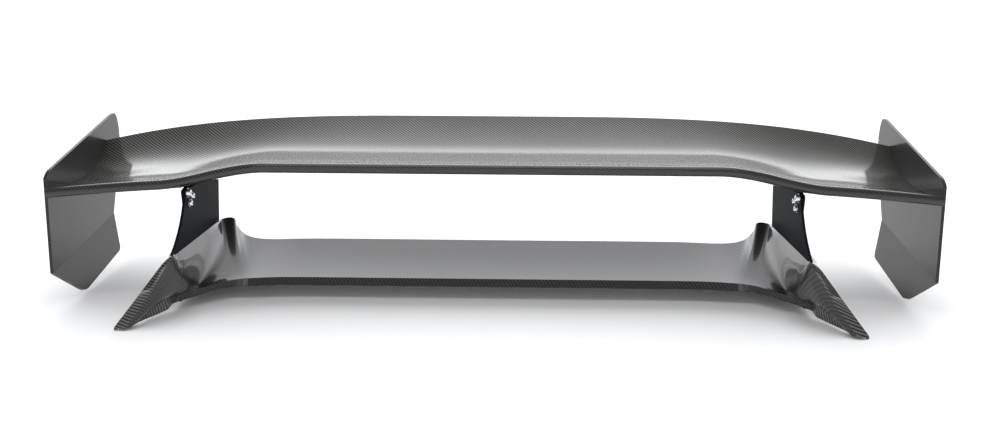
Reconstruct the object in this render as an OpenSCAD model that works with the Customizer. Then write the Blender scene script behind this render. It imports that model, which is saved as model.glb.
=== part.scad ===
// Rear wing for a saloon race car: a carbon wing between two folded endplates, carried by two
// aluminium pylons on a carbon base that sits on the boot lid with one leg down each side.
// Frame: +X to the car's left-hand side seen from the front, +Y to the rear, +Z up.
// The origin is at the middle of the bottom of the whole assembly.

/* [Overall] */
// Width over the outer faces of the two endplates
overall_w = 1400; // [1390:1:1420]
// Height of the underside of the middle of the base above the leg tips
base_z = 24; // [23:1:26]

/* [Wing] */
// Chord of the wing, leading edge to trailing edge
chord = 254; // [250:1:256]
// Position of the leading edge, measured from the middle of the assembly
nose_y = -110; // [-112:1:-108]
// Height of the leading edge over the raised middle of the wing
nose_z = 232; // [230:1:235]
// Thickness of the wing over its front half
wing_t = 15.2; // [14:0.2:16]
// Thickness of the trailing edge
edge_t = 2.6; // [2.2:0.2:3.4]
// Radius of the rolled leading edge
nose_r = 7.8; // [7.2:0.2:8]
// Wall of each moulded skin
skin_t = 1.6; // [1.2:0.2:1.8]
// Drop of the leading edge where the wing steps down beside the pylons
gull_drop = 25; // [20:1:28]
// Drop of the leading edge from the pylons out to the endplates
tip_drop = 19; // [14:1:22]
// Drop of the trailing edge from the middle to the endplates
rear_drop = 49; // [44:1:52]

/* [Endplates] */
// Thickness of an endplate
endplate_t = 5; // [4:0.5:6]
// Angle of the lower panel, folded in towards the middle
fold_angle = 14; // [8:1:16]

/* [Pylons] */
// Distance from the middle to the inner face of a pylon
pylon_x = 484; // [482:0.5:485]
// Thickness of a pylon plate
pylon_t = 4; // [3.5:0.5:4]
// Position of the pivot bolt, front to rear
pivot_y = -72; // [-74:1:-70]
// Height of the pivot bolt
pivot_z = 184; // [183:1:185]
// Radius of the pivot bolt
pivot_r = 4; // [3:0.5:4]
// Radius of the clamp bolts and of all other screws
bolt_r = 3; // [2.5:0.5:3]
// Steepest setting of the wing above its present one, in degrees
tilt_up = 8; // [4:1:8]
// Flattest setting of the wing below its present one, in degrees
tilt_down = 4; // [2:1:4]

/* [Base] */
// Wall of the moulded base
base_t = 2; // [1.4:0.2:2.2]
// Distance between the two threaded lid fixings of one foot
lid_pitch = 115; // [100:5:120]
// Radius of the tapped hole in a lid fixing
tapped_r = 2.5; // [2:0.25:3]

/* [Hidden] */
$fn = 48;
half_w = overall_w / 2;
wing_half = half_w - endplate_t;
gap = 0.3;                        // space between parts that move past each other
wing_steps = 40;                  // stations across the span
gull_x = 350;                     // where the step down beside the pylons starts
gull_w = 170;                     // width of that step
nose_s = 0.0441;                  // chord fraction where the rolled edge meets the upper skin
main_spar_s = 0.31;
rear_spar_s = 0.66;
plate_x = pylon_x + pylon_t + gap; // inner face of a wing bracket
bracket_t = 3.4;
bracket_front = 0.22;              // chord fractions between which a bracket is bonded
bracket_rear = 0.74;
clamp_a = [[16, -9], [4, -18]];   // clamp bolts, from the pivot
lid_flat = 400;                   // the lid is flat to here
lid_fall = 156;                   // and falls away over this width
foot_z = base_z - 4.6;            // underside of a pylon foot
lid_hole_x = pylon_x + 14;
lid_hole_y = -19;

// ---- small helpers ----

// 0 to 1 with flat ends
function ease(t) = let (u = min(max(t, 0), 1)) u * u * (3 - 2 * u);
function mix(a, b, t) = a + (b - a) * t;
function unit(v) = v / max(norm(v), 0.0001);

// A point on the smooth curve through four rows, between the second and the third
function curve(p0, p1, p2, p3, t) = 0.5 * (2 * p1 + (p2 - p0) * t
    + (2 * p0 - 5 * p1 + 4 * p2 - p3) * t * t + (3 * p1 - p0 - 3 * p2 + p3) * t * t * t);

// A closed tube of equal loops, capped at both ends
module loft(loops) {
    n = len(loops[0]);
    m = len(loops);
    points = [for (l = loops) each l];
    sides = [for (i = [0 : m - 2]) for (j = [0 : n - 1])
        let (a = i * n + j, b = i * n + (j + 1) % n) each [[a, b, b + n], [a, b + n, a + n]]];
    caps = [[for (j = [n - 1 : -1 : 0]) j], [for (j = [0 : n - 1]) (m - 1) * n + j]];
    polyhedron(points, concat(sides, caps));
}

// A sheet between an outer and an inner grid of points, with the cells in hole() left out
module sheet(outer, inner, hole = function(i, j) false) {
    m = len(outer);
    n = len(outer[0]);
    inside = function(i, j) i >= 0 && j >= 0 && i < m - 1 && j < n - 1 && !hole(i, j);
    o = function(i, j) i * n + j;
    q = function(i, j) m * n + i * n + j;
    faces = [for (i = [0 : m - 2]) for (j = [0 : n - 2]) if (inside(i, j)) each concat(
        [[o(i, j), o(i, j + 1), o(i + 1, j + 1)], [o(i, j), o(i + 1, j + 1), o(i + 1, j)]],
        [[q(i, j), q(i + 1, j + 1), q(i, j + 1)], [q(i, j), q(i + 1, j), q(i + 1, j + 1)]],
        inside(i - 1, j) ? [] : [[o(i, j), q(i, j + 1), o(i, j + 1)], [o(i, j), q(i, j), q(i, j + 1)]],
        inside(i + 1, j) ? [] : [[o(i + 1, j), o(i + 1, j + 1), q(i + 1, j + 1)],
            [o(i + 1, j), q(i + 1, j + 1), q(i + 1, j)]],
        inside(i, j - 1) ? [] : [[o(i, j), o(i + 1, j), q(i + 1, j)], [o(i, j), q(i + 1, j), q(i, j)]],
        inside(i, j + 1) ? [] : [[o(i, j + 1), q(i + 1, j + 1), o(i + 1, j + 1)],
            [o(i, j + 1), q(i, j + 1), q(i + 1, j + 1)]])];
    points = concat([for (r = outer) each r], [for (r = inner) each r]);
    polyhedron(points, faces);
}

// Draws its children as a side view: their x is Y, their y is Z, and they rise along +X from x0
module side_view(x0) {
    translate([x0, 0, 0]) rotate([90, 0, 90]) children();
}

module both_sides() {
    children();
    mirror([1, 0, 0]) children();
}

// ---- wing section ----

// Heights above the leading edge, at a fraction of the chord
function upper_z(s) = -4 + 194 * pow(max(0, s - 0.4), 3) + 100 * pow(max(0, 0.4 - s), 2);
function wing_depth(s) = wing_t - (wing_t - edge_t) * pow(max(0, (s - 0.5) / 0.5), 1.2);
function lower_z(s) = upper_z(s) - wing_depth(s);
function nose_drop(x) = gull_drop * ease((abs(x) - gull_x) / gull_w)
    + tip_drop * pow(max(0, abs(x) - 420) / (half_w - 420), 1.5);
function tail_drop(x) = rear_drop * pow(max(0, abs(x) - 100) / (half_w - 103), 2.9);
function drop(x, s) = mix(nose_drop(x), tail_drop(x), ease(s));
function wing_pt(x, s, z) = [x, nose_y + chord * s, nose_z - drop(x, s) + z];

// Centre of the rolled edge, so that it meets the upper skin
nose_cy = chord * nose_s - nose_r * cos(68);
nose_cz = upper_z(nose_s) - nose_r * sin(68);
function nose_pt(x, a, r) = wing_pt(x, (nose_cy + r * cos(a)) / chord, nose_cz + r * sin(a));
function wall(s) = min(skin_t, wing_depth(s) / 2);
function station(i) = mix(-wing_half, wing_half, i / wing_steps);

upper_s = [for (i = [0 : 10]) mix(nose_s, 1, i / 10)];
lower_s = [for (i = [0 : 9]) mix(0.05, 1, i / 9)];
nose_a = [for (i = [0 : 6]) mix(68, 248, i / 6)];

module wing_upper_skin() {
    stations = [for (i = [0 : wing_steps]) station(i)];
    color([0.13, 0.13, 0.14]) sheet(
        [for (x = stations) [for (s = upper_s) wing_pt(x, s, upper_z(s))]],
        [for (x = stations) [for (s = upper_s) wing_pt(x, s, upper_z(s) - wall(s))]]);
}

module wing_lower_skin() {
    section = function(x, in) concat([for (a = nose_a) nose_pt(x, a, nose_r - in * skin_t)],
        [for (s = lower_s) wing_pt(x, s, lower_z(s) + in * wall(s))]);
    color([0.09, 0.09, 0.09]) sheet(
        [for (i = [wing_steps : -1 : 0]) section(station(i), 0)],
        [for (i = [wing_steps : -1 : 0]) section(station(i), 1)]);
}

// A flat tube along the span, w wide and h high, with its middle at chord fraction s
module spar(s, w, h, t) {
    difference() {
        spar_bar(s, w, h, wing_half - 4);
        spar_bar(s, w - 2 * t, h - 2 * t, wing_half);
    }
}

module spar_bar(s, w, h, reach) {
    corners = [for (c = [[-1, -1], [-1, 1], [1, 1], [1, -1]]) [s + c[0] * w / 2 / chord, c[1] * h / 2]];
    loft([for (i = [0 : wing_steps]) let (x = mix(-reach, reach, i / wing_steps))
        [for (c = corners) wing_pt(x, c[0], upper_z(c[0]) - wing_depth(c[0]) / 2 + c[1])]]);
}

module wing_main_spar() {
    color([0.2, 0.2, 0.2]) spar(main_spar_s, 20, 9.4, 1.5);
}

module wing_rear_spar() {
    color([0.2, 0.2, 0.2]) spar(rear_spar_s, 14, 5.6, 1.2);
}

// One rib between two chord fractions, centred on x, with a bond line of bond under each skin
module rib(x, t, from, to, bond) {
    air = skin_t + bond;
    steps = 5;
    top = [for (k = [0 : steps]) let (s = mix(from, to, k / steps)) wing_pt(x, s, upper_z(s) - air)];
    low = [for (k = [steps : -1 : 0]) let (s = mix(from, to, k / steps)) wing_pt(x, s, lower_z(s) + air)];
    side_view(x - t / 2) linear_extrude(t) polygon([for (p = concat(top, low)) [p[1], p[2]]]);
}

// Nose, middle and tail pieces, bonded in front of, between and behind the spars
module rib_set(x, t, bond = 1.1) {
    rib(x, t, 0.085, 0.267, bond);
    rib(x, t, 0.353, 0.629, bond);
    rib(x, t, 0.691, 0.84, bond);
}

module wing_ribs() {
    color([0.25, 0.25, 0.24]) {
        rib_set(0, 3);
        both_sides() for (x = [160, 320]) rib_set(x, 3);
        both_sides() rib_set(600, 3);
    }
}

module bracket_ribs() {
    color([0.25, 0.25, 0.24]) both_sides() for (x = [plate_x + 1, plate_x + 19]) rib_set(x, 4, 1.3);
}

// Closing rib with the screw bores for an endplate
insert_s = [0.16, 0.5, 0.705];
insert_len = 8;
function insert_pos(s) = let (p = wing_pt(wing_half - 4, s, upper_z(s) - wing_depth(s) / 2)) [p[1], p[2]];

module end_rib() {
    difference() {
        rib_set(wing_half - 4.2, insert_len, 1.9);
        side_view(wing_half - 20) for (s = insert_s) translate(insert_pos(s)) cylinder(r = 2.5, h = 30);
    }
}

module end_rib_right() {
    color([0.25, 0.25, 0.24]) end_rib();
}

module end_rib_left() {
    color([0.25, 0.25, 0.24]) mirror([1, 0, 0]) end_rib();
}

// Threaded tubes bonded into the closing ribs
module end_inserts() {
    color([0.75, 0.62, 0.3]) both_sides() side_view(wing_half - insert_len - 0.2) for (s = insert_s)
        translate(insert_pos(s)) difference() {
            cylinder(r = 2.45, h = insert_len);
            translate([0, 0, -1]) cylinder(r = 2, h = insert_len + 2);
        }
}

// ---- endplates ----

// Side outline of the flat upper panel, and of the lower panel measured from the fold line
fold_front = [-114, 61];
fold_rear = [139, 88];
fold_tilt = atan2(fold_rear[1] - fold_front[1], fold_rear[0] - fold_front[0]);
fold_len = norm(fold_rear - fold_front);
panel_drop = 62;

// A quarter bend between two sides, at a corner with radius r
function corner(p, from, to, r, n = 6) = let (a = p + unit(from - p) * r, b = p + unit(to - p) * r)
    [for (k = [0 : n]) let (t = k / n) (1 - t) * (1 - t) * a + 2 * t * (1 - t) * p + t * t * b];

module upper_panel() {
    front_top = [-98, 212];
    ridge = [-86, 221];
    tip = [193, 265];
    bulge = [205, 217];
    polygon(concat([fold_front, front_top], corner(ridge, front_top, tip, 8),
        corner(tip, ridge, bulge, 16), corner(bulge, tip, fold_rear, 30), [fold_rear]));
}

module lower_panel() {
    front = [64, -panel_drop - 4];
    rear = [fold_len - 30, -panel_drop];
    polygon(concat([[0, 0.5]], corner(front, [0, 0], rear, 14), corner(rear, front, [fold_len, 0], 9),
        [[fold_len, 0.5]]));
}

module endplate() {
    difference() {
        union() {
            side_view(wing_half) linear_extrude(endplate_t) upper_panel();
            translate([wing_half + 0.05, fold_front[0], fold_front[1]]) rotate([fold_tilt, 0, 0])
                rotate([0, fold_angle, 0]) side_view(0) linear_extrude(endplate_t) lower_panel();
        }
        side_view(wing_half - 1) for (s = insert_s) translate(insert_pos(s)) cylinder(r = 2.2, h = 10);
    }
}

module endplate_right() {
    color([0.3, 0.3, 0.32]) endplate();
}

module endplate_left() {
    color([0.3, 0.3, 0.32]) mirror([1, 0, 0]) endplate();
}

module endplate_screws() {
    color([0.75, 0.75, 0.76]) both_sides() side_view(half_w) for (s = insert_s)
        translate(insert_pos(s)) difference() {
            union() {
                translate([0, 0, -12]) cylinder(r = 2, h = 13);
                translate([0, 0, 0.8]) cylinder(r = 3.8, h = 2.2);
            }
            translate([0, 0, 1.8]) cylinder(r = 1.45, h = 2, $fn = 6);
        }
}

module endplate_washers() {
    color([0.7, 0.7, 0.72]) both_sides() side_view(half_w) for (s = insert_s)
        translate(insert_pos(s)) difference() {
            cylinder(r = 4.5, h = 0.8);
            translate([0, 0, -1]) cylinder(r = 2.1, h = 3);
        }
}

// ---- wing brackets ----

// Side outline of the upright plate of a bracket: its top edge runs under the wing, its lower
// edge sweeps back up from the clamp bolts, and a round boss takes the pivot
module bracket_outline() {
    x = plate_x + bracket_t;
    s_at = function(k) mix(bracket_front, bracket_rear, k / 8);
    top = [for (k = [0 : 8]) let (p = wing_pt(x, s_at(k), lower_z(s_at(k)) - 0.3)) [p[1], p[2]]];
    low_front = [pivot_y - 5, pivot_z - 27];
    low_rear = [pivot_y + 24, pivot_z - 27];
    boss = [for (a = [200 : -15 : 125]) [pivot_y, pivot_z] + 7 * [cos(a), sin(a)]];
    polygon(concat(top, corner(low_rear, top[8], low_front, 16),
        corner(low_front, low_rear, boss[0], 7), boss));
}

// Where the pivot and the two clamp bolts of one side pass through, in the side view
bolt_at = [for (c = concat([[0, 0]], clamp_a)) [pivot_y, pivot_z] + c];
insert_wall = 1.5;

module wing_bracket() {
    side_view(plate_x) difference() {
        linear_extrude(bracket_t) bracket_outline();
        for (k = [0 : 2]) translate(bolt_at[k]) translate([0, 0, -1])
            cylinder(r = (k == 0 ? pivot_r : bolt_r) + insert_wall, h = bracket_t + 2);
    }
}

module wing_bracket_right() {
    color([0.2, 0.21, 0.23]) wing_bracket();
}

module wing_bracket_left() {
    color([0.2, 0.21, 0.23]) mirror([1, 0, 0]) wing_bracket();
}

// Flange bonded under the lower skin beside a bracket's plate, following it from x1 to x2
module flange(x1, x2) {
    steps = 8;
    cols = 2;
    s_at = function(k) mix(bracket_front, bracket_rear, k / steps);
    layer = function(down) [for (i = [0 : cols]) [for (k = [0 : steps])
        wing_pt(mix(x1, x2, i / cols), s_at(k), lower_z(s_at(k)) - down)]];
    sheet(layer(0.15), layer(3));
}

module bracket_flanges() {
    color([0.2, 0.21, 0.23]) {
        flange(plate_x + bracket_t, plate_x + 24);
        flange(-plate_x - 24, -plate_x - bracket_t);
    }
}

// ---- fasteners ----

// Button-head bolt along +Z, its head below z = 0 and its shank above
module button_bolt(r, head_r, head_h, reach) {
    difference() {
        union() {
            cylinder(r = r, h = reach);
            translate([0, 0, -head_h]) cylinder(r1 = head_r * 0.72, r2 = head_r, h = head_h * 0.6);
            translate([0, 0, -head_h * 0.4]) cylinder(r = head_r, h = head_h * 0.4);
        }
        translate([0, 0, -head_h - 1]) cylinder(r = head_r * 0.42, h = head_h * 0.6 + 1, $fn = 6);
    }
}

module washer(r_in, r_out, h) {
    difference() {
        cylinder(r = r_out, h = h);
        translate([0, 0, -1]) cylinder(r = r_in, h = h + 2);
    }
}

module nut(r_in, flats, h) {
    difference() {
        cylinder(d = flats / cos(30), h = h, $fn = 6);
        translate([0, 0, -1]) cylinder(r = r_in, h = h + 2);
    }
}

washer_t = 1.2;
head_x = pylon_x - washer_t - gap;  // under the bolt heads, inboard of the pylon

// Steel thread inserts, flush in the aluminium bracket
module bracket_inserts() {
    color([0.6, 0.6, 0.62]) both_sides() side_view(plate_x) for (k = [0 : 2])
        let (r = k == 0 ? pivot_r : bolt_r) translate(bolt_at[k]) washer(r, r + insert_wall, bracket_t);
}

// All three bolts of a side screw into the bracket. The pivot turns in the pylon's bore,
// and the clamp bolts slide in its arc slots
module pivot_bolts() {
    color([0.82, 0.82, 0.83]) both_sides() side_view(head_x)
        translate(bolt_at[0]) button_bolt(pivot_r, 6.6, 4.6, plate_x + bracket_t - head_x);
}

module clamp_bolts() {
    color([0.8, 0.8, 0.81]) both_sides() side_view(head_x) for (k = [1, 2])
        translate(bolt_at[k]) button_bolt(bolt_r, 5.4, 3.8, plate_x + bracket_t - head_x);
}

module pivot_washers() {
    color([0.75, 0.75, 0.76]) both_sides() side_view(head_x)
        translate(bolt_at[0]) washer(pivot_r + 0.1, 7.4, washer_t);
}

module clamp_washers() {
    color([0.75, 0.75, 0.76]) both_sides() side_view(head_x) for (k = [1, 2])
        translate(bolt_at[k]) washer(bolt_r + 0.1, 6.2, washer_t);
}

// ---- pylons ----

shoulder_rear = [80, 92.5];
shoulder_front = [-163, 107];
function ledge_z(y) = mix(shoulder_rear[1], shoulder_front[1],
    (shoulder_rear[0] - y) / (shoulder_rear[0] - shoulder_front[0]));
slot_rear = 64;
slot_front = -106;
tang_z = 39;

// Swept front edge from the shoulder up to the pivot lug
module pylon_outline() {
    knee = [-106, 135];
    neck = [-83, 179];
    front_edge = [for (k = [0 : 10]) let (t = k / 10)
        (1 - t) * (1 - t) * (shoulder_front + [0, 1.5]) + 2 * t * (1 - t) * knee + t * t * neck];
    lug = [for (a = [165 : -15 : 60]) [pivot_y, pivot_z] + 9 * [cos(a), sin(a)]];
    polygon(concat(front_edge, lug, [[pivot_y + 14, 189], [pivot_y + 30, 187.5], [0, 185.5]],
        corner([99, 187], [0, 185.5], shoulder_rear, 6), [shoulder_rear + [0, 1.1]],
        [[slot_rear - 0.4, ledge_z(slot_rear) + 0.4], [slot_rear - 6, tang_z],
        [slot_front + 10, tang_z], [slot_front + 0.4, ledge_z(slot_front) + 0.4],
        [-141, ledge_z(-141) + 0.5], [-151, 108.5]]));
}

// Outline of a slot for a bolt that swings about the pivot through the whole setting range
module arc_slot(at, half_width) {
    r = norm(at);
    from = atan2(at[1], at[0]) - tilt_down - 0.2;
    to = atan2(at[1], at[0]) + tilt_up + 0.2;
    ray = function(a, d) [pivot_y, pivot_z] + d * [cos(a), sin(a)];
    polygon(concat(
        [for (k = [0 : 6]) ray(mix(from, to, k / 6), r + half_width)],
        [for (k = [1 : 8]) ray(to, r) + half_width * [cos(to + 20 * k), sin(to + 20 * k)]],
        [for (k = [6 : -1 : 0]) ray(mix(from, to, k / 6), r - half_width)],
        [for (k = [1 : 8]) ray(from, r) - half_width * [cos(from + 20 * k), sin(from + 20 * k)]]));
}

foot_bolt_at = [[-68, 57], [30, 57]];

module pylon() {
    side_view(pylon_x) difference() {
        linear_extrude(pylon_t) difference() {
            pylon_outline();
            for (c = clamp_a) arc_slot(c, bolt_r + 0.35);
        }
        translate([pivot_y, pivot_z, -1]) cylinder(r = pivot_r + 0.05, h = pylon_t + 2);
        for (p = foot_bolt_at) translate([p[0], p[1], -1]) cylinder(r = bolt_r + 0.1, h = pylon_t + 2);
    }
}

module pylon_right() {
    color([0.17, 0.18, 0.2]) pylon();
}

module pylon_left() {
    color([0.17, 0.18, 0.2]) mirror([1, 0, 0]) pylon();
}

// Angle bracket inside the leg: the pylon's tang bolts to it, and it holds the lid fixings
foot_x = pylon_x + pylon_t;

// Its children at the two lid fixings of one foot
module lid_holes() {
    for (e = [-1, 1]) translate([lid_hole_x, lid_hole_y + e * lid_pitch / 2, foot_z]) children();
}

module pylon_foot() {
    difference() {
        union() {
            translate([foot_x, -92, foot_z]) cube([4, 146, 50]);
            translate([foot_x, -92, foot_z]) cube([17, 146, 4]);
        }
        side_view(foot_x - 1) for (p = foot_bolt_at) translate(p) cylinder(r = bolt_r + 0.1, h = 7);
        lid_holes() translate([0, 0, -1]) cylinder(r = tapped_r + insert_wall, h = 8);
    }
}

module pylon_foot_right() {
    color([0.7, 0.7, 0.72]) pylon_foot();
}

module pylon_foot_left() {
    color([0.7, 0.7, 0.72]) mirror([1, 0, 0]) pylon_foot();
}

module foot_bolts() {
    color([0.75, 0.75, 0.76]) both_sides() side_view(pylon_x) for (p = foot_bolt_at)
        translate(p) button_bolt(bolt_r, 5, 2.4, 12.8);
}

module foot_nuts() {
    color([0.7, 0.7, 0.72]) both_sides() side_view(foot_x + 4) for (p = foot_bolt_at)
        translate(p) nut(bolt_r, 10, 4.6);
}

// Tapped bushes pressed into the foot: the lid's own bolts come up into them from below
module foot_inserts() {
    color([0.6, 0.6, 0.62]) both_sides() lid_holes() washer(tapped_r, tapped_r + insert_wall, 12);
}

// ---- base ----

// Underside of the base: the surface of the boot lid, which falls away beyond lid_flat
function lid_z(x) = base_z * (1 - min(1, pow(max(0, abs(x) - lid_flat) / lid_fall, 2.1)));

// Rows from the middle of the base out over the ear and down the leg. Each row holds the crest,
// the hollow below it, the top of the front lip, and the pylon ledge, as [x, y, z]
lip_h = 11;
rows = [
    // crest, hollow, front lip, ledge inner, ledge middle, ledge outer, lip height
    [[0, 92, 57], [0, 22, 42], [0, -48], [0, 93.6, 55.6], [0, 93.6, 53], [0, 92.4, 50], lip_h],
    [[300, 92, 57], [300, 22, 42], [300, -48], [300, 93.6, 55.6], [300, 93.6, 53], [300, 92.4, 50], lip_h],
    [[400, 92, 55], [385, 22, 42], [366, -51], [400, 93.6, 53.6], [400, 93.6, 51], [400, 92.4, 48], lip_h],
    [[438, 92, 61], [415, 24, 42], [386, -54], [438, 93.6, 59.6], [438, 93.6, 57], [438, 92.4, 54], lip_h],
    [[455, 92, 77], [432, 27, 43], [398, -56], [456, 93.6, 75.8], [456, 93.6, 73], [456, 92.4, 69], lip_h],
    [[461, 90, 94], [444, 28, 44], [408, -58], [462, 92, 93], [464, 92.6, 90], [467, 92, 86], lip_h],
    [[479, 86, 94], [454, 22, 44], [420, -62], [483.6, 89, 93], [488.4, 89.4, 91], [496, 88, 87], lip_h],
    [[480, 58, 91], [458, 6, 43], [434, -69], [483.6, 64, 0], [488.4, 64, 0], [503, 64, 91], lip_h],
    [[479, -16, 86.5], [464, -46, 41], [456, -86], [483.6, -16, 0], [488.4, -16, 0], [504, -16, 96], lip_h],
    [[478, -102, 86], [470, -102, 41], [483, -104], [483.6, -106, 0], [488.4, -106, 0], [504, -106, 98], lip_h],
    [[478, -138, 86], [474, -128, 43], [494, -111], [483.6, -144, 0], [488.4, -142, 0], [504, -130, 95], 10.5],
    [[481, -166, 83], [486, -146, 47], [506, -119], [486, -169, 104], [491, -166, 102], [507, -146, 90], 10],
    [[511, -175, 45], [512, -166, 27], [530, -151], [519, -181, 51], [524, -180, 50], [541.5, -172, 44], 8],
    [[546, -194, 4], [546.5, -193, 3.8], [548, -191], [553, -199, 5], [557, -199.6, 5], [571.5, -196, 4.5], 1]
];
row_steps = [2, 2, 2, 2, 2, 2, 2, 3, 3, 2, 2, 3, 3];
bowl_steps = 7;

// One whole section of the base, from the outer bottom edge over the crest to the front bottom edge
function section(r) = let (
        on_ledge = r[3][2] == 0,
        fix = function(p) on_ledge ? [p[0], p[1], ledge_z(p[1])] : p,
        inner = fix(r[3]),
        middle = fix(r[4]),
        outer = r[5],
        out = ease((outer[0] - 440) / 60),
        heel_x = outer[0] + 5 * out * r[6] / lip_h,
        heel = [heel_x, outer[1] - 8 * (1 - out), lid_z(heel_x)],
        lip = [r[2][0], r[2][1], lid_z(r[2][0]) + r[6]],
        toe_y = r[2][1] - 8 * (1 - out),
        bowl = [for (k = [0 : bowl_steps]) let (v = k / bowl_steps)
            (1 - v) * (1 - v) * r[0] + 2 * v * (1 - v) * r[1] + v * v * lip])
    concat([heel, outer, middle, inner], bowl, [[r[2][0] + 1, toe_y, lid_z(r[2][0] + 1)]]);

sections = [for (r = rows) section(r)];
last_row = len(rows) - 1;

// Smoothed sections of the right half, from the middle to the tip of the leg
half_grid = concat(
    [for (i = [0 : last_row - 1]) for (k = [0 : row_steps[i] - 1]) let (
        a = i == 0 ? [for (p = sections[1]) [-p[0], p[1], p[2]]] : sections[i - 1],
        d = sections[min(i + 2, last_row)])
        [for (j = [0 : len(sections[0]) - 1]) curve(a[j], sections[i][j], sections[i + 1][j], d[j],
            k / row_steps[i])]],
    [sections[last_row]]);
tip_row = sections[last_row];
tip_mid = [560, -196, 2.2];
closed_tip = [for (p = tip_row) tip_mid + (p - tip_mid) * 0.45 + [0.8, -0.8, -0.3]];
right_grid = concat(half_grid, [closed_tip]);
base_grid = concat(
    [for (i = [len(right_grid) - 1 : -1 : 1]) [for (p = right_grid[i]) [-p[0], p[1], p[2]]]], right_grid);

// Inner side of the moulding, one wall inwards, thinner where the tip closes
function grid_normal(g, i, j) = let (
        m = len(g) - 1,
        n = len(g[0]) - 1,
        u = g[min(i + 1, m)][j] - g[max(i - 1, 0)][j],
        v = g[i][min(j + 1, n)] - g[i][max(j - 1, 0)])
    unit(cross(u, v));
function wall_at(i, count) = let (e = min(i, count - 1 - i)) e == 0 ? 0.5 : e == 1 ? 0.8 : e < 4 ? 1.2 : base_t;
mid_row = len(right_grid) - 1;
slot_start = 14;                  // rows between the two ends of the pylon slot, from the middle
slot_end = 20;
slot_in = pylon_x - gap;
slot_out = pylon_x + pylon_t + gap;
function beside_slot(x, j) = let (side = x < 0 ? -1 : 1)
    j == 2 ? side * max(abs(x), slot_out) : j == 3 ? side * min(abs(x), slot_in) : x;
inner_grid = [for (i = [0 : len(base_grid) - 1]) let (row = abs(i - mid_row))
    [for (j = [0 : len(base_grid[0]) - 1])
        let (p = base_grid[i][j] + grid_normal(base_grid, i, j) * wall_at(i, len(base_grid)))
            [row >= slot_start && row <= slot_end ? beside_slot(p[0], j) : p[0], p[1], max(p[2], 0.1)]]];

function is_slot(i, j) = j == 2 && ((i >= mid_row + slot_start && i < mid_row + slot_end)
    || (i < mid_row - slot_start && i >= mid_row - slot_end));

module base_upper_skin() {
    color([0.16, 0.16, 0.17]) sheet(base_grid, inner_grid, function(i, j) is_slot(i, j));
}

// Flat closing skin inside the bottom edge. It ends where the legs turn down, and they are open below
module base_lower_skin() {
    lanes = 4;
    n = len(base_grid[0]) - 1;
    low = [for (i = [mid_row - slot_end : mid_row + slot_end]) let (
            a = base_grid[i][0],
            b = base_grid[i][n],
            d = unit([b[0] - a[0], b[1] - a[1]]) * (abs(i - mid_row) > 16 ? 8 : 5.2))
        [for (k = [0 : lanes]) let (p = mix([a[0], a[1]] + d, [b[0], b[1]] - d, k / lanes))
            [p[0], p[1], lid_z(p[0]) + 0.2]]];
    high = [for (r = low) [for (p = r) p + [0, 0, 1.8]]];
    color([0.12, 0.12, 0.12]) difference() {
        sheet(low, high);
        both_sides() lid_holes() translate([0, 0, -20]) cylinder(r = tapped_r + insert_wall + 1, h = 40);
    }
}

// Upright stiffeners across the inside of the base
module base_ribs() {
    color([0.25, 0.25, 0.24]) for (x = [-320, -160, 0, 160, 320]) side_view(x - 1.5) linear_extrude(3)
        polygon([[78, base_z + 2.6], [84, 51], [54, 46.5], [19, 41.2], [-16, 36.2], [-44, 31.4],
            [-44, base_z + 2.6]]);
}

// Rubber seal under the front lip or the outer edge, from one row to another
module seal(from, to, side, h) {
    n = len(base_grid[0]) - 1;
    j = side == "front" ? n : 0;
    other = n - j;
    path = [for (i = [from : to]) let (
            e = base_grid[i][j],
            along = base_grid[min(i + 1, to)][j] - base_grid[max(i - 1, from)][j],
            across = base_grid[i][other] - e,
            turn = unit([-along[1], along[0]]),
            inwards = turn * (turn * [across[0], across[1]] < 0 ? -1 : 1))
        [e[0], e[1]] + inwards * 8.5];
    loft([for (k = [0 : len(path) - 1]) let (
            p = path[k],
            t = unit(path[min(k + 1, len(path) - 1)] - path[max(k - 1, 0)]),
            w = [-t[1], t[0]] * 3.5)
        [for (c = [[-1, -0.7], [1, -0.7], [1, -h], [-1, -h]])
            [p[0] + w[0] * c[0], p[1] + w[1] * c[0], lid_z(p[0]) + c[1]]]]);
}

module front_seal() {
    reach = 14;
    color([0.05, 0.05, 0.05]) seal(mid_row - reach, mid_row + reach, "front", 2.4);
}

module leg_seals() {
    reach = mid_row + slot_end;
    color([0.05, 0.05, 0.05]) {
        seal(mid_row + slot_start, reach, "rear", 2.4);
        seal(2 * mid_row - reach, mid_row - slot_start, "rear", 2.4);
    }
}

wing_upper_skin();
wing_lower_skin();
wing_main_spar();
wing_rear_spar();
wing_ribs();
bracket_ribs();
end_rib_left();
end_rib_right();
end_inserts();
endplate_left();
endplate_right();
endplate_screws();
endplate_washers();
wing_bracket_left();
wing_bracket_right();
bracket_flanges();
bracket_inserts();
pivot_bolts();
pivot_washers();
clamp_bolts();
clamp_washers();
pylon_left();
pylon_right();
pylon_foot_left();
pylon_foot_right();
foot_bolts();
foot_nuts();
foot_inserts();
base_upper_skin();
base_lower_skin();
base_ribs();
front_seal();
leg_seals();
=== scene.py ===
import math

import bmesh
import bpy
from mathutils import Matrix, Vector


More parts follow.
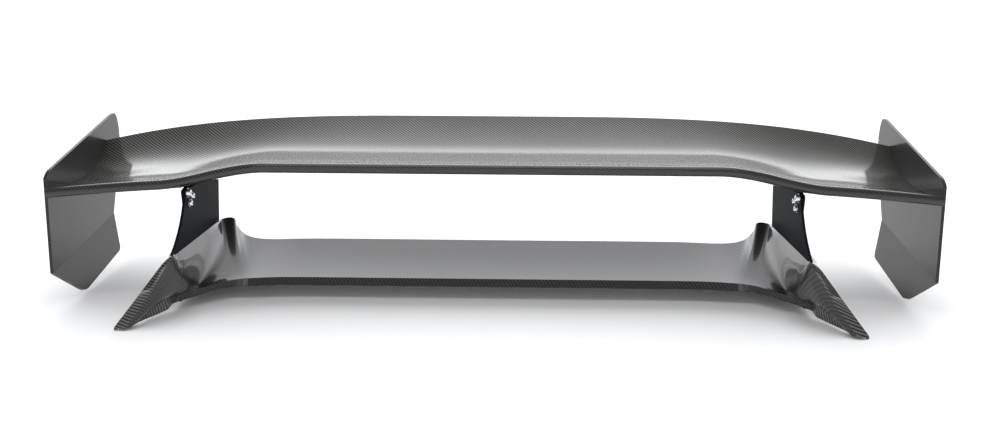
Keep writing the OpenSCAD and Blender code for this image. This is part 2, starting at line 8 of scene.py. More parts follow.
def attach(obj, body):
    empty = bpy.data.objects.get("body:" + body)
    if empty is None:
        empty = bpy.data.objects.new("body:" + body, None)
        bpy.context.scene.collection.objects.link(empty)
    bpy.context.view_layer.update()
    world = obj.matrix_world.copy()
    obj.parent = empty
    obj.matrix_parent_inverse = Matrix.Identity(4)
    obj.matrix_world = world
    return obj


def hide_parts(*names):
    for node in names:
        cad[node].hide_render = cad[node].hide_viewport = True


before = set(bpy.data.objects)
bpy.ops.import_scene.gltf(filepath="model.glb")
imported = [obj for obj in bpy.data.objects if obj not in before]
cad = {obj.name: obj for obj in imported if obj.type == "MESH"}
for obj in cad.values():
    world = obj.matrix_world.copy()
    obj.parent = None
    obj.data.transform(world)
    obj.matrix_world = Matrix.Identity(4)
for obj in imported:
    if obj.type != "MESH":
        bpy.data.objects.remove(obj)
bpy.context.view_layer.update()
MM = 0.001


# ---- camera ----
# A studio camera a little above the wing and in front of it, almost square on, with a short
# telephoto's flat view.
camera_data = bpy.data.cameras.new("camera")
camera_data.sensor_width = 36.0
camera_data.lens = 36.0
camera = bpy.data.objects.new("camera", camera_data)
bpy.context.scene.collection.objects.link(camera)
CAMERA_AT = Vector((46.9, -1595.8, 603.7)) * MM
LOOK_DOWN, TURN_LEFT, ROLL = 16.36, 1.24, 0.19
camera.matrix_world = (
    Matrix.Translation(CAMERA_AT)
    @ Matrix.Rotation(math.radians(TURN_LEFT), 4, "Z")
    @ Matrix.Rotation(math.radians(90 - LOOK_DOWN), 4, "X")
    @ Matrix.Rotation(math.radians(ROLL), 4, "Z")
)
bpy.context.scene.camera = camera
bpy.context.scene.view_settings.view_transform = "Standard"


# ---- studio ----
# A pale floor in a white room that is brightest low on its back wall and dim at the front and
# high on both sides. A thin strip lamp hangs in front of the nose, a fill lamp faces the wing,
# and a broad lamp that leaves no reflection whitens the paper.
def soft_light(name, at, towards, width, depth, watts):
    data = bpy.data.lights.new(name, "AREA")
    data.shape = "RECTANGLE"
    data.size, data.size_y = width, depth
    data.energy = watts
    lamp = bpy.data.objects.new(name, data)
    lamp.location = at
    lamp.rotation_euler = (Vector(towards) - Vector(at)).to_track_quat("-Z", "Y").to_euler()
    bpy.context.scene.collection.objects.link(lamp)
    return lamp


soft_light("strip_lamp", (0.0, -1.05, 2.6), (0, -0.1, 0.2), 2.6, 0.14, 6)
soft_light("front_fill", (-0.4, -4.2, 2.4), (0, 0, 0.1), 3.0, 1.2, 14)
paper_lamp = soft_light("paper_lamp", (0.0, 4.0, 5.0), (0, 4.0, 0), 14.0, 14.0, 480)
paper_lamp.visible_glossy = False

world = bpy.data.worlds.new("studio_room")
world.use_nodes = True
room = world.node_tree


def room_value(kind, settings, *values):
    """One step of the sum that gives the room's brightness in a direction."""
    made = room.nodes.new(kind)
    for key, value in settings.items():
        setattr(made, key, value)
    for k, value in enumerate(values):
        if isinstance(value, bpy.types.NodeSocket):
            room.links.new(value, made.inputs[k])
        else:
            made.inputs[k].default_value = value
    return made


def room_ramp(value, start, end):
    """0 below the start, 1 above the end and smooth between them."""
    return room_value("ShaderNodeMapRange", {"interpolation_type": "SMOOTHSTEP"},
                      value, start, end).outputs[0]


def room_product(a, b):
    return room_value("ShaderNodeMath", {"operation": "MULTIPLY"}, a, b).outputs[0]


DIM, BRIGHTEST, WALL_AHEAD = 0.4, 2.65, 0.45
LEVELS = ((0.0, 0.45), (0.3, 0.98), (0.62, 0.5), (1.0, 0.75))  # height in the room and its light
SIDE_SHADE = (0.1, 0.42)  # from where the high sides start to dim to where they are dark
BACK_WALL = (-0.5, 0.2)  # from where the back wall's light starts to where it is full
AHEAD_REACH, AHEAD_HEIGHT = 0.6, (0.1, 0.6)
bearing = room.nodes.new("ShaderNodeTexCoord").outputs["Generated"]
sideways, rearward, upward = room_value("ShaderNodeSeparateXYZ", {}, bearing).outputs
level = room_value("ShaderNodeValToRGB", {}, upward)
for place, _ in LEVELS[1:-1]:
    level.color_ramp.elements.new(place)
for element, (place, shade) in zip(level.color_ramp.elements, LEVELS):
    element.position, element.color = place, (shade, shade, shade, 1)
away = room_value("ShaderNodeMath", {"operation": "ABSOLUTE"}, sideways).outputs[0]
open_side = room_value("ShaderNodeMath", {"operation": "SUBTRACT"}, 1.0,
                       room_ramp(room_product(away, upward), *SIDE_SHADE)).outputs[0]
lit = room_product(room_product(room_ramp(rearward, *BACK_WALL), open_side),
                   level.outputs["Color"])
wall_ahead = room_product(
    room_value("ShaderNodeMath", {"operation": "SUBTRACT"}, AHEAD_REACH, rearward).outputs[0],
    room_value("ShaderNodeMath", {"operation": "SUBTRACT"}, 1.0,
               room_ramp(upward, *AHEAD_HEIGHT)).outputs[0])
base_glow = room_value("ShaderNodeMath", {"operation": "MULTIPLY_ADD"}, wall_ahead, WALL_AHEAD,
                       DIM)
strength = room_value("ShaderNodeMath", {"operation": "MULTIPLY_ADD"}, lit, BRIGHTEST,
                      base_glow.outputs[0])
room.links.new(strength.outputs[0], room.nodes["Background"].inputs["Strength"])
room.nodes["Background"].inputs["Color"].default_value = (0.97, 0.98, 1.0, 1)
bpy.context.scene.world = world

FLOOR_HALF, FLOOR_Z = 40.0, -0.0005
floor_mesh = bpy.data.meshes.new("floor")
floor_mesh.from_pydata(
    [(x * FLOOR_HALF, y * FLOOR_HALF, FLOOR_Z) for x, y in ((-1, -1), (1, -1), (1, 1), (-1, 1))],
    [], [(0, 1, 2, 3)])
floor = bpy.data.objects.new("floor", floor_mesh)
bpy.context.scene.collection.objects.link(floor)


# ---- wing upper skin ----
# The moulded top of the wing, laid up in twill carbon cloth and polished under clear lacquer. It
# sweeps up to the trailing edge, and its front edge meets the rolled nose of the lower skin.
class Feed:
    """One output of a material's node. Arithmetic on it adds Math nodes."""

    def __init__(self, finish, socket):
        self.finish, self.socket = finish, socket

    def sum_of(self, operation, *values):
        return self.finish.node("ShaderNodeMath", {"operation": operation}, *values)

    def __add__(self, other):
        return self.sum_of("ADD", self, other)

    def __sub__(self, other):
        return self.sum_of("SUBTRACT", self, other)

    def __rsub__(self, other):
        return self.sum_of("SUBTRACT", other, self)

    def __mul__(self, other):
        return self.sum_of("MULTIPLY", self, other)

    def __truediv__(self, other):
        return self.sum_of("DIVIDE", self, other)

    def __mod__(self, other):
        return self.sum_of("FLOORED_MODULO", self, other)

    def __lt__(self, other):
        return self.sum_of("LESS_THAN", self, other)

    def __floordiv__(self, other):
        return self.sum_of("FLOOR", self / other)

    __radd__ = __add__
    __rmul__ = __mul__


class Finish:
    """A material with one main shader, built up node by node."""

    def __init__(self, name):
        self.material = bpy.data.materials.new(name)
        self.material.use_nodes = True
        self.tree = self.material.node_tree
        self.shader = self.tree.nodes["Principled BSDF"]

    def put(self, socket, value):
        if isinstance(value, Feed):
            self.tree.links.new(value.socket, socket)
        elif isinstance(value, tuple) and len(value) == 3 and socket.type == "RGBA":
            socket.default_value = (*value, 1)
        else:
            socket.default_value = value

    def node(self, kind, settings, *values, out=0, **named):
        made = self.tree.nodes.new(kind)
        for key, value in settings.items():
            setattr(made, key, value)
        for k, value in enumerate(values):
            self.put(made.inputs[k], value)
        for key, value in named.items():
            self.put(made.inputs[key.replace("_", " ")], value)
        outputs = [o for o in made.outputs if o.enabled]
        return Feed(self, outputs[out])

    def split(self, vector):
        return [self.node("ShaderNodeSeparateXYZ", {}, vector, out=k) for k in range(3)]

    def mix_colour(self, factor, first, second):
        made = self.tree.nodes.new("ShaderNodeMix")
        made.data_type = "RGBA"
        factor_in, first_in, second_in = made.inputs[0], made.inputs[6], made.inputs[7]
        self.put(factor_in, factor)
        self.put(first_in, first)
        self.put(second_in, second)
        return Feed(self, made.outputs[2])

    def noise(self, vector, scale, detail=2.0, rough=0.5):
        return self.node("ShaderNodeTexNoise", {}, Vector=vector, Scale=scale, Detail=detail,
                         Roughness=rough)

    def set(self, **sockets):
        for key, value in sockets.items():
            self.put(self.shader.inputs[key.replace("_", " ")], value)
        return self


TOW = 1.5 * MM  # width of one flat bundle of fibres
REPEAT, FLOAT = 4.0, 2.0  # bundles in one repeat of the twill, and those a bundle passes over


def twill_carbon(name, light_tow, dark_tow, lacquer=1.0, gloss=0.03, rich_to=0.0):
    """Two-over-two twill cloth under lacquer, laid by the piece's own cloth map in metres. The
    weave is drowned in resin near the front edge, and clear again beyond rich_to."""
    f = Finish(name)
    cloth = f.node("ShaderNodeUVMap", {"uv_map": "cloth"})
    u, v, _ = f.split(cloth)
    across, along = u / TOW, v / TOW
    step = (across // 1.0) + (along // 1.0)
    warp_over = (step % REPEAT) < FLOAT
    warp_round = (across % 1.0) - 0.5
    weft_round = (along % 1.0) - 0.5
    side = warp_round * warp_over + weft_round * (1 - warp_over)
    crown = 1 - side * side * 3.2
    drift = f.noise(cloth, 9.0, 3.0, 0.55)
    fibres = f.noise(f.node("ShaderNodeVectorMath", {"operation": "MULTIPLY"}, cloth,
                            (1900.0, 90.0, 1.0)), 1.0, 1.0)
    tone = warp_over * (crown * 0.55 + 0.45) * (drift * 0.7 + 0.65) * (fibres * 0.35 + 0.82)
    if rich_to:
        clear = f.node("ShaderNodeMapRange", {"interpolation_type": "SMOOTHSTEP"}, v, 0.4 * rich_to,
                       rich_to)
        tone = tone * clear + (1 - clear) * 0.3
        warp_over = warp_over * clear
    f.set(Base_Color=f.mix_colour(tone, dark_tow, light_tow),
          Roughness=0.42 - warp_over * 0.1,
          Coat_Weight=lacquer, Coat_Roughness=gloss, Coat_IOR=1.5,
          Metallic=0.0, Specular_IOR_Level=0.12)
    ripple = f.noise(cloth, 26.0, 2.0, 0.5)
    f.set(Normal=f.node("ShaderNodeBump", {}, Strength=0.12, Distance=0.0002,
                        Height=crown + ripple * 0.5))
    return f.material


wing_cloth = twill_carbon("wing_cloth", (0.1, 0.097, 0.086), (0.003, 0.003, 0.003),
                          gloss=0.11, rich_to=0.055)


def moulded_shell(name, outer, inner, cloth, material, hole=None, crease=35, other=None):
    """A closed shell between two grids of points in millimetres. cloth(i, j, point, normal, lane)
    gives where the cloth lies at a point, in millimetres, and other is a second cloth with the
    test of a lane that is laid up in it."""
    rows, columns = len(outer), len(outer[0])
    points = [Vector(p) * MM for grid in (outer, inner) for row in grid for p in row]
    skin = rows * columns

    def kept(i, j):
        inside = 0 <= i < rows - 1 and 0 <= j < columns - 1
        return inside and not (hole and hole(i, j))

    faces, lanes = [], []
    for i in range(rows - 1):
        for j in range(columns - 1):
            if not kept(i, j):
                continue
            a, b, c, d = (i * columns + j, i * columns + j + 1,
                          (i + 1) * columns + j + 1, (i + 1) * columns + j)
            faces.append((a, b, c, d))
            faces.append(tuple(k + skin for k in (d, c, b, a)))
            for (p, q), open_edge in (((b, a), not kept(i - 1, j)), ((d, c), not kept(i + 1, j)),
                                      ((a, d), not kept(i, j - 1)), ((c, b), not kept(i, j + 1))):
                if open_edge:
                    faces.append((p, q, q + skin, p + skin))
            lanes += [(i, j)] * (len(faces) - len(lanes))
    mesh = bpy.data.meshes.new(name)
    mesh.from_pydata(points, [], faces)
    layer = mesh.uv_layers.new(name="cloth")
    for face, lane in zip(mesh.polygons, lanes):
        face.material_index = 1 if other and other[1](lane) else 0
        for k in face.loop_indices:
            at = mesh.loops[k].vertex_index
            i, j = divmod(at % skin, columns)
            layer.data[k].uv = Vector(cloth(i, j, points[at] / MM, face.normal, lane)) * MM
    edit = bmesh.new()
    edit.from_mesh(mesh)
    loose = [v for v in edit.verts if not v.link_faces]
    bmesh.ops.delete(edit, geom=loose, context="VERTS")
    bmesh.ops.recalc_face_normals(edit, faces=edit.faces)
    edit.to_mesh(mesh)
    edit.free()
    mesh.shade_smooth()
    mesh.set_sharp_from_angle(angle=math.radians(crease))
    for used in (material, other[0]) if other else (material,):
        mesh.materials.append(used)
    piece = bpy.data.objects.new(name, mesh)
    bpy.context.scene.collection.objects.link(piece)
    return piece


def ease(t):
    u = min(max(t, 0.0), 1.0)
    return u * u * (3 - 2 * u)


CHORD, NOSE_Y, NOSE_Z = 254.0, -110.0, 232.0
WING_DEPTH, EDGE_DEPTH, NOSE_R, SKIN = 15.2, 2.6, 7.8, 1.6
HALF_SPAN, WING_HALF = 700.0, 695.0
SEAM = 0.0441


LOWEST_AT, LOWEST_Z = 0.4, -4  # where along the chord the top is lowest, and its height there
TAIL_SWEEP, NOSE_SWEEP = 194, 100


def upper_z(s):
    return (LOWEST_Z + TAIL_SWEEP * max(0, s - LOWEST_AT) ** 3
            + NOSE_SWEEP * max(0, LOWEST_AT - s) ** 2)


def wing_depth(s):
    return WING_DEPTH - (WING_DEPTH - EDGE_DEPTH) * max(0, (s - 0.5) / 0.5) ** 1.2


STEP_FROM, STEP_LONG, STEP_DROP = 350, 170, 25  # the step down of the nose beside the middle
TIP_FROM, TIP_DROP = 420, 19  # and its further fall to the tips
TAIL_FROM, TAIL_LONG, TAIL_DROP = 100, HALF_SPAN - 103, 49


def wing_point(x, s, z):
    """A point of the wing at a fraction of its chord, z above the leading edge."""
    out = abs(x)
    nose_drop = (STEP_DROP * ease((out - STEP_FROM) / STEP_LONG)
                 + TIP_DROP * (max(0, out - TIP_FROM) / (HALF_SPAN - TIP_FROM)) ** 1.5)
    tail_drop = TAIL_DROP * (max(0, out - TAIL_FROM) / TAIL_LONG) ** 2.9
    share = ease(s)
    return (x, NOSE_Y + CHORD * s, NOSE_Z - nose_drop * (1 - share) - tail_drop * share + z)


def wall(s):
    return min(SKIN, wing_depth(s) / 2)


def lengths(points):
    """Distance run along a line of points, at each of them."""
    run = [0.0]
    for a, b in zip(points, points[1:]):
        run.append(run[-1] + (Vector(b) - Vector(a)).length)
    return run


SPAN_STEPS, CHORD_STEPS = 140, 44
stations = [WING_HALF * (2 * i / SPAN_STEPS - 1) for i in range(SPAN_STEPS + 1)]
top_line = [SEAM + (1 - SEAM) * k / CHORD_STEPS for k in range(CHORD_STEPS + 1)]
top_outer = [[wing_point(x, s, upper_z(s)) for s in top_line] for x in stations]
top_inner = [[wing_point(x, s, upper_z(s) - wall(s)) for s in top_line] for x in stations]
middle_run = lengths([wing_point(0, s, upper_z(s)) for s in top_line])
wing_top = moulded_shell("wing_top_skin", top_outer, top_inner,
                         lambda i, j, *_: (stations[i], middle_run[j]), wing_cloth)
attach(wing_top, "wing")
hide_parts("wing_upper_skin")


# ---- wing lower skin ----
# The underside of the wing with its rolled leading edge, moulded in one piece and bonded to the
# upper skin along the crease above the nose.
# The underside and rolled nose take a darker copy of the wing's cloth: painted shade on faces that
# turn down and forward, away from the light.
shaded_nose_cloth = twill_carbon("shaded_nose_cloth", (0.026, 0.025, 0.022), (0.003, 0.003, 0.003))
NOSE_FROM, NOSE_TO = 68.0, 248.0
nose_mid = (CHORD * SEAM - NOSE_R * math.cos(math.radians(NOSE_FROM)),
            upper_z(SEAM) - NOSE_R * math.sin(math.radians(NOSE_FROM)))


def nose_point(x, degrees, radius):
    a = math.radians(degrees)
    return wing_point(x, (nose_mid[0] + radius * math.cos(a)) / CHORD,
                      nose_mid[1] + radius * math.sin(a))


NOSE_STEPS = 18
nose_angles = [NOSE_FROM + (NOSE_TO - NOSE_FROM) * k / NOSE_STEPS for k in range(NOSE_STEPS + 1)]
UNDER_FROM, UNDER_STEPS = 0.05, 36
under_line = [UNDER_FROM + (1 - UNDER_FROM) * k / UNDER_STEPS for k in range(UNDER_STEPS + 1)]
under_outer = [[nose_point(x, a, NOSE_R) for a in nose_angles]
               + [wing_point(x, s, upper_z(s) - wing_depth(s)) for s in under_line]
               for x in stations]
under_inner = [[nose_point(x, a, NOSE_R - SKIN) for a in nose_angles]
               + [wing_point(x, s, upper_z(s) - wing_depth(s) + wall(s)) for s in under_line]
               for x in stations]
under_run = lengths(under_outer[SPAN_STEPS // 2])
wing_under = moulded_shell("wing_underside_skin", under_outer, under_inner,
                           lambda i, j, *_: (stations[i], -under_run[j]), shaded_nose_cloth)
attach(wing_under, "wing")
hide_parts("wing_lower_skin")


# ---- spars and ribs inside the wing ----
# Two flat carbon tubes run the whole span and cut ribs are glued between them. None of it is
# lacquered, as it is closed in by the skins.
PLAIN_TOW = 2 * MM


def plain_laminate(name, shade):
    f = Finish(name)
    place = f.node("ShaderNodeTexCoord", {}, out=3)
    x, y, z = f.split(place)
    step = ((x / PLAIN_TOW) // 1.0) + (((y + z) / PLAIN_TOW) // 1.0)
    tow = (step % REPEAT) < FLOAT
    grain = f.noise(place, 60.0, 4.0)
    f.set(Base_Color=f.mix_colour(tow * 0.6 + grain * 0.4, shade, tuple(2.2 * c for c in shade)),
          Roughness=grain * 0.25 + 0.45)
    f.set(Normal=f.node("ShaderNodeBump", {}, Strength=0.3, Distance=0.0002, Height=tow + grain))
    return f.material


def wear(material, *names):
    """Gives CAD nodes a finish in place of the flat one they came with."""
    for name in names:
        cad[name].data.materials.clear()
        cad[name].data.materials.append(material)


laminate = plain_laminate("plain_laminate", (0.02, 0.02, 0.02))
wear(laminate, "wing_main_spar", "wing_rear_spar", "wing_ribs", "bracket_ribs", "end_rib_left",
     "end_rib_right")


# ---- endplates ----
# A flat carbon plate on each end of the wing, its lower panel folded in towards the middle and
# its cut edges rounded by hand. Three screws a side hold it to the closing rib.
endplate_cloth = twill_carbon("endplate_cloth", (0.014, 0.014, 0.015), (0.003, 0.003, 0.003),
                              lacquer=0.56)


EDGE_CORNER = 30  # degrees of turn above which an edge is rounded
FLAT_WITHIN = 1  # degrees of turn below which two faces are one
WELD = 0.002 * MM


def eased_copy(name, node, radius, material):
    """A copy of a CAD node with its sharp edges rounded, and a cloth map from its side view."""
    mesh = cad[node].data.copy()
    mesh.name = name
    edit = bmesh.new()
    edit.from_mesh(mesh)
    bmesh.ops.remove_doubles(edit, verts=edit.verts, dist=WELD)
    bmesh.ops.dissolve_limit(edit, angle_limit=math.radians(FLAT_WITHIN), verts=edit.verts,
                             edges=edit.edges)
    sharp = [e for e in edit.edges
             if len(e.link_faces) == 2 and e.calc_face_angle(0) > math.radians(EDGE_CORNER)]
    bmesh.ops.bevel(edit, geom=sharp, offset=radius, segments=2, profile=0.5,
                    affect="EDGES", clamp_overlap=True)
    bmesh.ops.triangulate(edit, faces=[f for f in edit.faces if len(f.verts) > 4])
    while edit.loops.layers.uv:
        edit.loops.layers.uv.remove(edit.loops.layers.uv[0])
    layer = edit.loops.layers.uv.new("cloth")
    for face in edit.faces:
        for loop in face.loops:
            loop[layer].uv = loop.vert.co.yz
    edit.to_mesh(mesh)
    edit.free()
    mesh.shade_flat()
    mesh.materials.clear()
    mesh.materials.append(material)
    piece = bpy.data.objects.new(name, mesh)
    bpy.context.scene.collection.objects.link(piece)
    return piece


ENDPLATE_EDGE = 1.1 * MM
for side in ("left", "right"):
    plate = eased_copy(f"endplate_panel_{side}", f"endplate_{side}", ENDPLATE_EDGE,
                       endplate_cloth)
    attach(plate, "wing")
    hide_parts(f"endplate_{side}")


# ---- pylons ----
# Two swept plates of satin black anodised aluminium carry the wing, each with a bore for the
# pivot and two curved slots for the clamp bolts.
def anodised(name, shade, rough):
    f = Finish(name)
    place = f.node("ShaderNodeTexCoord", {}, out=3)
    blast = f.noise(place, 1400.0, 2.0)
    clouds = f.noise(place, 14.0, 3.0)
    f.set(Base_Color=f.mix_colour(clouds * 0.6 + blast * 0.3, shade, tuple(1.7 * c for c in shade)),
          Roughness=blast * 0.12 + clouds * 0.08 + rough, Metallic=0.0,
          Specular_IOR_Level=0.03)
    f.set(Normal=f.node("ShaderNodeBump", {}, Strength=0.12, Distance=0.0001, Height=blast))
    return f.material


black_anodised = anodised("black_anodised", (0.004, 0.005, 0.007), 0.42)
PYLON_EDGE = 0.4 * MM
for side in ("left", "right"):
    pylon = eased_copy(f"pylon_plate_{side}", f"pylon_{side}", PYLON_EDGE, black_anodised)
    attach(pylon, "base")
    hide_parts(f"pylon_{side}")


# ---- wing brackets ----
# A plate bonded under the wing beside each pylon, with a flange that follows the lower skin.
# Zinc-plated steel inserts carry the threads.
wear(black_anodised, "wing_bracket_left", "wing_bracket_right", "bracket_flanges")


# ---- bolts, washers and inserts ----
# Polished stainless button-head bolts stand in the pivot and the slots. The plain stainless
# screws hold the endplates, and brass or plated inserts take the threads.
def turned_metal(name, colour, rough, scratch=0.1):
    f = Finish(name)
    place = f.node("ShaderNodeTexCoord", {}, out=3)
    fine = f.noise(place, 2600.0, 3.0)
    smears = f.noise(place, 160.0, 2.0)
    f.set(Base_Color=f.mix_colour(smears, colour, tuple(0.82 * c for c in colour)),
          Roughness=rough + fine * scratch, Metallic=1.0)
    f.set(Normal=f.node("ShaderNodeBump", {}, Strength=0.08, Distance=0.00005, Height=fine))
    return f.material


wear(turned_metal("polished_steel", (0.86, 0.86, 0.87), 0.06, 0.05), "pivot_bolts", "clamp_bolts")
wear(turned_metal("plain_stainless", (0.62, 0.62, 0.63), 0.22), "endplate_screws",
     "endplate_washers", "pivot_washers", "clamp_washers", "foot_bolts", "foot_nuts")
wear(turned_metal("zinc_plate", (0.55, 0.56, 0.58), 0.3), "bracket_inserts", "foot_inserts")
wear(turned_metal("turned_brass", (0.72, 0.55, 0.26), 0.25), "end_inserts")


# ---- pylon feet ----
# An angle of bare machined aluminium inside each leg of the base joins the pylon's tang to the
# boot lid.
wear(turned_metal("machined_aluminium", (0.7, 0.71, 0.73), 0.3), "pylon_foot_left",
     "pylon_foot_right")


# ---- base upper skin ----
# One lacquered carbon moulding: a flat tray across the boot lid that rises to an ear at each
# side, then runs forward and down as a leg. A slot on each ledge lets the pylon through.
base_cloth = twill_carbon("base_cloth", (0.034, 0.033, 0.032), (0.005, 0.005, 0.005))
# The outer strip down each leg takes a much brighter copy of the base cloth: painted light on faces
# turned to the lamps.
lit_leg_cloth = twill_carbon("lit_leg_cloth", (0.13, 0.127, 0.117), (0.003, 0.003, 0.003))
BASE_Z, LID_FLAT, LID_FALL = 24.0, 400.0, 156.0
SHOULDER_REAR, SHOULDER_FRONT = (80.0, 92.5), (-163.0, 107.0)
LEDGE = None  # height of a ledge point that lies on the shoulder line
ROWS = [
    # crest, hollow, front lip,
    # ledge inner, ledge middle, ledge outer, lip height
    ((0, 92, 57), (0, 22, 42), (0, -48),
     (0, 93.6, 55.6), (0, 93.6, 53), (0, 92.4, 50), 11),
    ((300, 92, 57), (300, 22, 42), (300, -48),
     (300, 93.6, 55.6), (300, 93.6, 53), (300, 92.4, 50), 11),
    ((400, 92, 55), (385, 22, 42), (366, -51),
     (400, 93.6, 53.6), (400, 93.6, 51), (400, 92.4, 48), 11),
    ((438, 92, 61), (415, 24, 42), (386, -54),
     (438, 93.6, 59.6), (438, 93.6, 57), (438, 92.4, 54), 11),
    ((455, 92, 77), (432, 27, 43), (398, -56),
     (456, 93.6, 75.8), (456, 93.6, 73), (456, 92.4, 69), 11),
    ((461, 90, 94), (444, 28, 44), (408, -58),
     (462, 92, 93), (464, 92.6, 90), (467, 92, 86), 11),
    ((479, 86, 94), (454, 22, 44), (420, -62),
     (483.6, 89, 93), (488.4, 89.4, 91), (496, 88, 87), 11),
    ((480, 58, 91), (458, 6, 43), (434, -69),
     (483.6, 64, LEDGE), (488.4, 64, LEDGE), (503, 64, 91), 11),
    ((479, -16, 86.5), (464, -46, 41), (456, -86),
     (483.6, -16, LEDGE), (488.4, -16, LEDGE), (504, -16, 96), 11),
    ((478, -102, 86), (470, -102, 41), (483, -104),
     (483.6, -106, LEDGE), (488.4, -106, LEDGE), (504, -106, 98), 11),
    ((478, -138, 86), (474, -128, 43), (494, -111),
     (483.6, -144, LEDGE), (488.4, -142, LEDGE), (504, -130, 95), 10.5),
    ((481, -166, 83), (486, -146, 47), (506, -119),
     (486, -169, 104), (491, -166, 102), (507, -146, 90), 10),
    ((511, -175, 45), (512, -166, 27), (530, -151),
     (519, -181, 51), (524, -180, 50), (541.5, -172, 44), 8),
    ((546, -194, 4), (546.5, -193, 3.8), (548, -191),
     (553, -199, 5), (557, -199.6, 5), (571.5, -196, 4.5), 1),
]
ROW_STEPS = [2, 2, 2, 2, 2, 2, 2, 3, 3, 2, 2, 3, 3]
SLOT_FROM, SLOT_TO = 14, 20  # steps from the middle between which the ledge is open
FINER = 4  # steps here for each of those
BOWL_STEPS = 20


def lid_z(x):
    return BASE_Z * (1 - min(1, (max(0, abs(x) - LID_FLAT) / LID_FALL) ** 2.1))


def ledge_z(y):
    t = (SHOULDER_REAR[0] - y) / (SHOULDER_REAR[0] - SHOULDER_FRONT[0])
    return SHOULDER_REAR[1] + (SHOULDER_FRONT[1] - SHOULDER_REAR[1]) * t


def section(crest, hollow, lip, inner, middle, outer, lip_height):
    """One line of points across the base, from the outer bottom edge to the front one."""
    out = ease((outer[0] - 440) / 60)
    heel_x = outer[0] + 5 * out * lip_height / 11
    heel = (heel_x, outer[1] - 8 * (1 - out), lid_z(heel_x))
    lip_top = Vector((lip[0], lip[1], lid_z(lip[0]) + lip_height))
    toe = (lip[0] + 1, lip[1] - 8 * (1 - out), lid_z(lip[0] + 1))
    inner, middle = (p if p[2] is not LEDGE else (p[0], p[1], ledge_z(p[1]))
                     for p in (inner, middle))
    a, b = Vector(crest), Vector(hollow)
    bowl = []
    for k in range(BOWL_STEPS + 1):
        v = k / BOWL_STEPS
        bowl.append((1 - v) ** 2 * a + 2 * v * (1 - v) * b + v * v * lip_top)
    return [Vector(heel), Vector(outer), Vector(middle), Vector(inner), *bowl, Vector(toe)]


def through(p0, p1, p2, p3, t):
    """A point on the smooth curve through four rows, between the second and the third."""
    return 0.5 * (2 * p1 + (p2 - p0) * t + (2 * p0 - 5 * p1 + 4 * p2 - p3) * t * t
                  + (3 * p1 - p0 - 3 * p2 + p3) * t ** 3)


def mirrored(row):
    return [Vector((-p[0], p[1], p[2])) for p in row]


sections = [section(*row) for row in ROWS]
half_base = []
for i in range(len(sections) - 1):
    before = mirrored(sections[1]) if i == 0 else sections[i - 1]
    after = sections[min(i + 2, len(sections) - 1)]
    count = ROW_STEPS[i] * FINER
    for k in range(count):
        half_base.append([through(*four, k / count)
                          for four in zip(before, sections[i], sections[i + 1], after)])
half_base.append(sections[-1])
TIP_MID, TIP_PULL = Vector((560, -196, 2.2)), Vector((0.8, -0.8, -0.3))
for close in (0.82, 0.45):
    half_base.append([TIP_MID + (p - TIP_MID) * close + TIP_PULL for p in sections[-1]])
LEG_FRONT = -199.6
for row in half_base:
    for p in row:
        p[1] = max(p[1], LEG_FRONT)
base_outer = [mirrored(row) for row in half_base[:0:-1]] + half_base
BASE_MIDDLE = len(half_base) - 1


def shell_normal(grid, i, j):
    along = Vector(grid[min(i + 1, len(grid) - 1)][j]) - Vector(grid[max(i - 1, 0)][j])
    across = Vector(grid[i][min(j + 1, len(grid[0]) - 1)]) - Vector(grid[i][max(j - 1, 0)])
    return along.cross(across).normalized()


BASE_WALL, TIP_WALL = 1.8, 0.4


def base_wall(i):
    end = min(i, len(base_outer) - 1 - i)
    return TIP_WALL + (BASE_WALL - TIP_WALL) * min(1, end / (3 * FINER))


base_inner = []
for i, row in enumerate(base_outer):
    line = []
    for j, p in enumerate(row):
        q = p + shell_normal(base_outer, i, j) * base_wall(i)
        line.append(Vector((q[0], q[1], max(q[2], 0.1))))
    base_inner.append(line)

SHOULDER_ROWS = sum(ROW_STEPS[:9]) * FINER  # rows from the middle before a leg turns down
leg_run = lengths([row[1] for row in base_outer])
across_runs = [lengths(row) for row in base_outer]


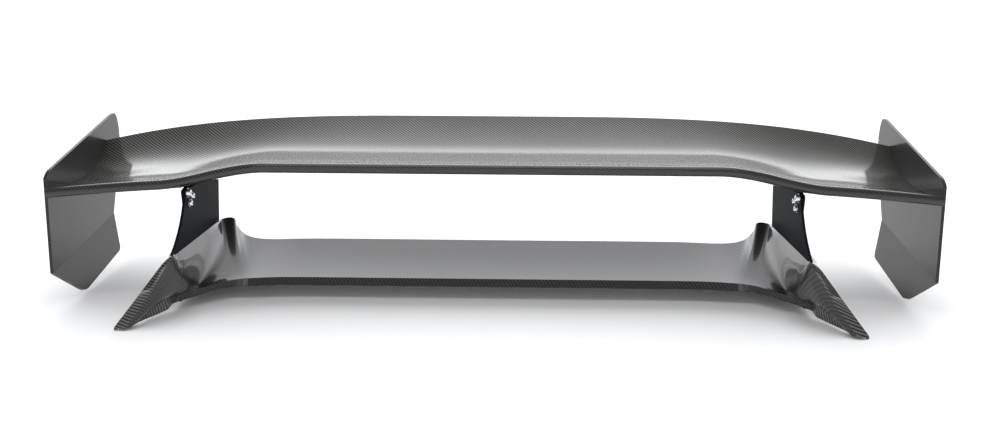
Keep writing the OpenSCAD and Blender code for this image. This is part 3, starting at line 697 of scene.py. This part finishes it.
def down_a_leg(lane):
    return abs(lane[0] + 0.5 - BASE_MIDDLE) > SHOULDER_ROWS


LEG_SLANT, LEVEL_FACE = 0.35, 0.55


def base_lay(i, j, point, normal, lane):
    """The tray's cloth lies square to the car. Down a leg it follows the leg, and the lines of
    its twill run nearly straight across the outer strip."""
    x, y, z = point
    if down_a_leg(lane):
        return (leg_run[i], across_runs[i][j] * LEG_SLANT)
    if abs(normal.z) > LEVEL_FACE:
        return (x, y)
    return (y, z) if abs(normal.x) > abs(normal.y) else (x, z)


def pylon_slot(i, j):
    away = i - BASE_MIDDLE if i >= BASE_MIDDLE else BASE_MIDDLE - 1 - i
    return j == 2 and SLOT_FROM * FINER <= away < SLOT_TO * FINER


# The outer strip of each leg is laid in the brighter cloth, which is painted light.
base_top = moulded_shell("base_moulding", base_outer, base_inner, base_lay, base_cloth,
                         hole=pylon_slot, crease=24,
                         other=(lit_leg_cloth, lambda lane: lane[1] < 3 and down_a_leg(lane)))
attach(base_top, "base")
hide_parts("base_upper_skin")


# ---- base lower skin, stiffeners and seals ----
# A flat skin closes the base from below over upright stiffeners, and strips of soft black foam
# keep it off the paint of the boot lid.
wear(laminate, "base_lower_skin", "base_ribs")


def foam_rubber(name):
    f = Finish(name)
    place = f.node("ShaderNodeTexCoord", {}, out=3)
    cells = f.node("ShaderNodeTexVoronoi", {}, Vector=place, Scale=900.0)
    f.set(Base_Color=f.mix_colour(cells, (0.012, 0.012, 0.012), (0.035, 0.035, 0.035)),
          Roughness=cells * 0.2 + 0.75)
    f.set(Normal=f.node("ShaderNodeBump", {}, Strength=0.5, Distance=0.0003, Height=cells))
    return f.material


wear(foam_rubber("seal_foam"), "front_seal", "leg_seals")


# ---- floor finish ----
# The floor is a wide sheet of matt off-white paper with a hardly visible mottle, laid flat
# under the legs.
paper = Finish("studio_paper")
mottle = paper.noise(paper.node("ShaderNodeTexCoord", {}, out=3), 3.0)
paper.set(Base_Color=paper.mix_colour(mottle, (0.86, 0.86, 0.86), (0.9, 0.9, 0.9)), Roughness=0.9)
floor_mesh.materials.append(paper.material)
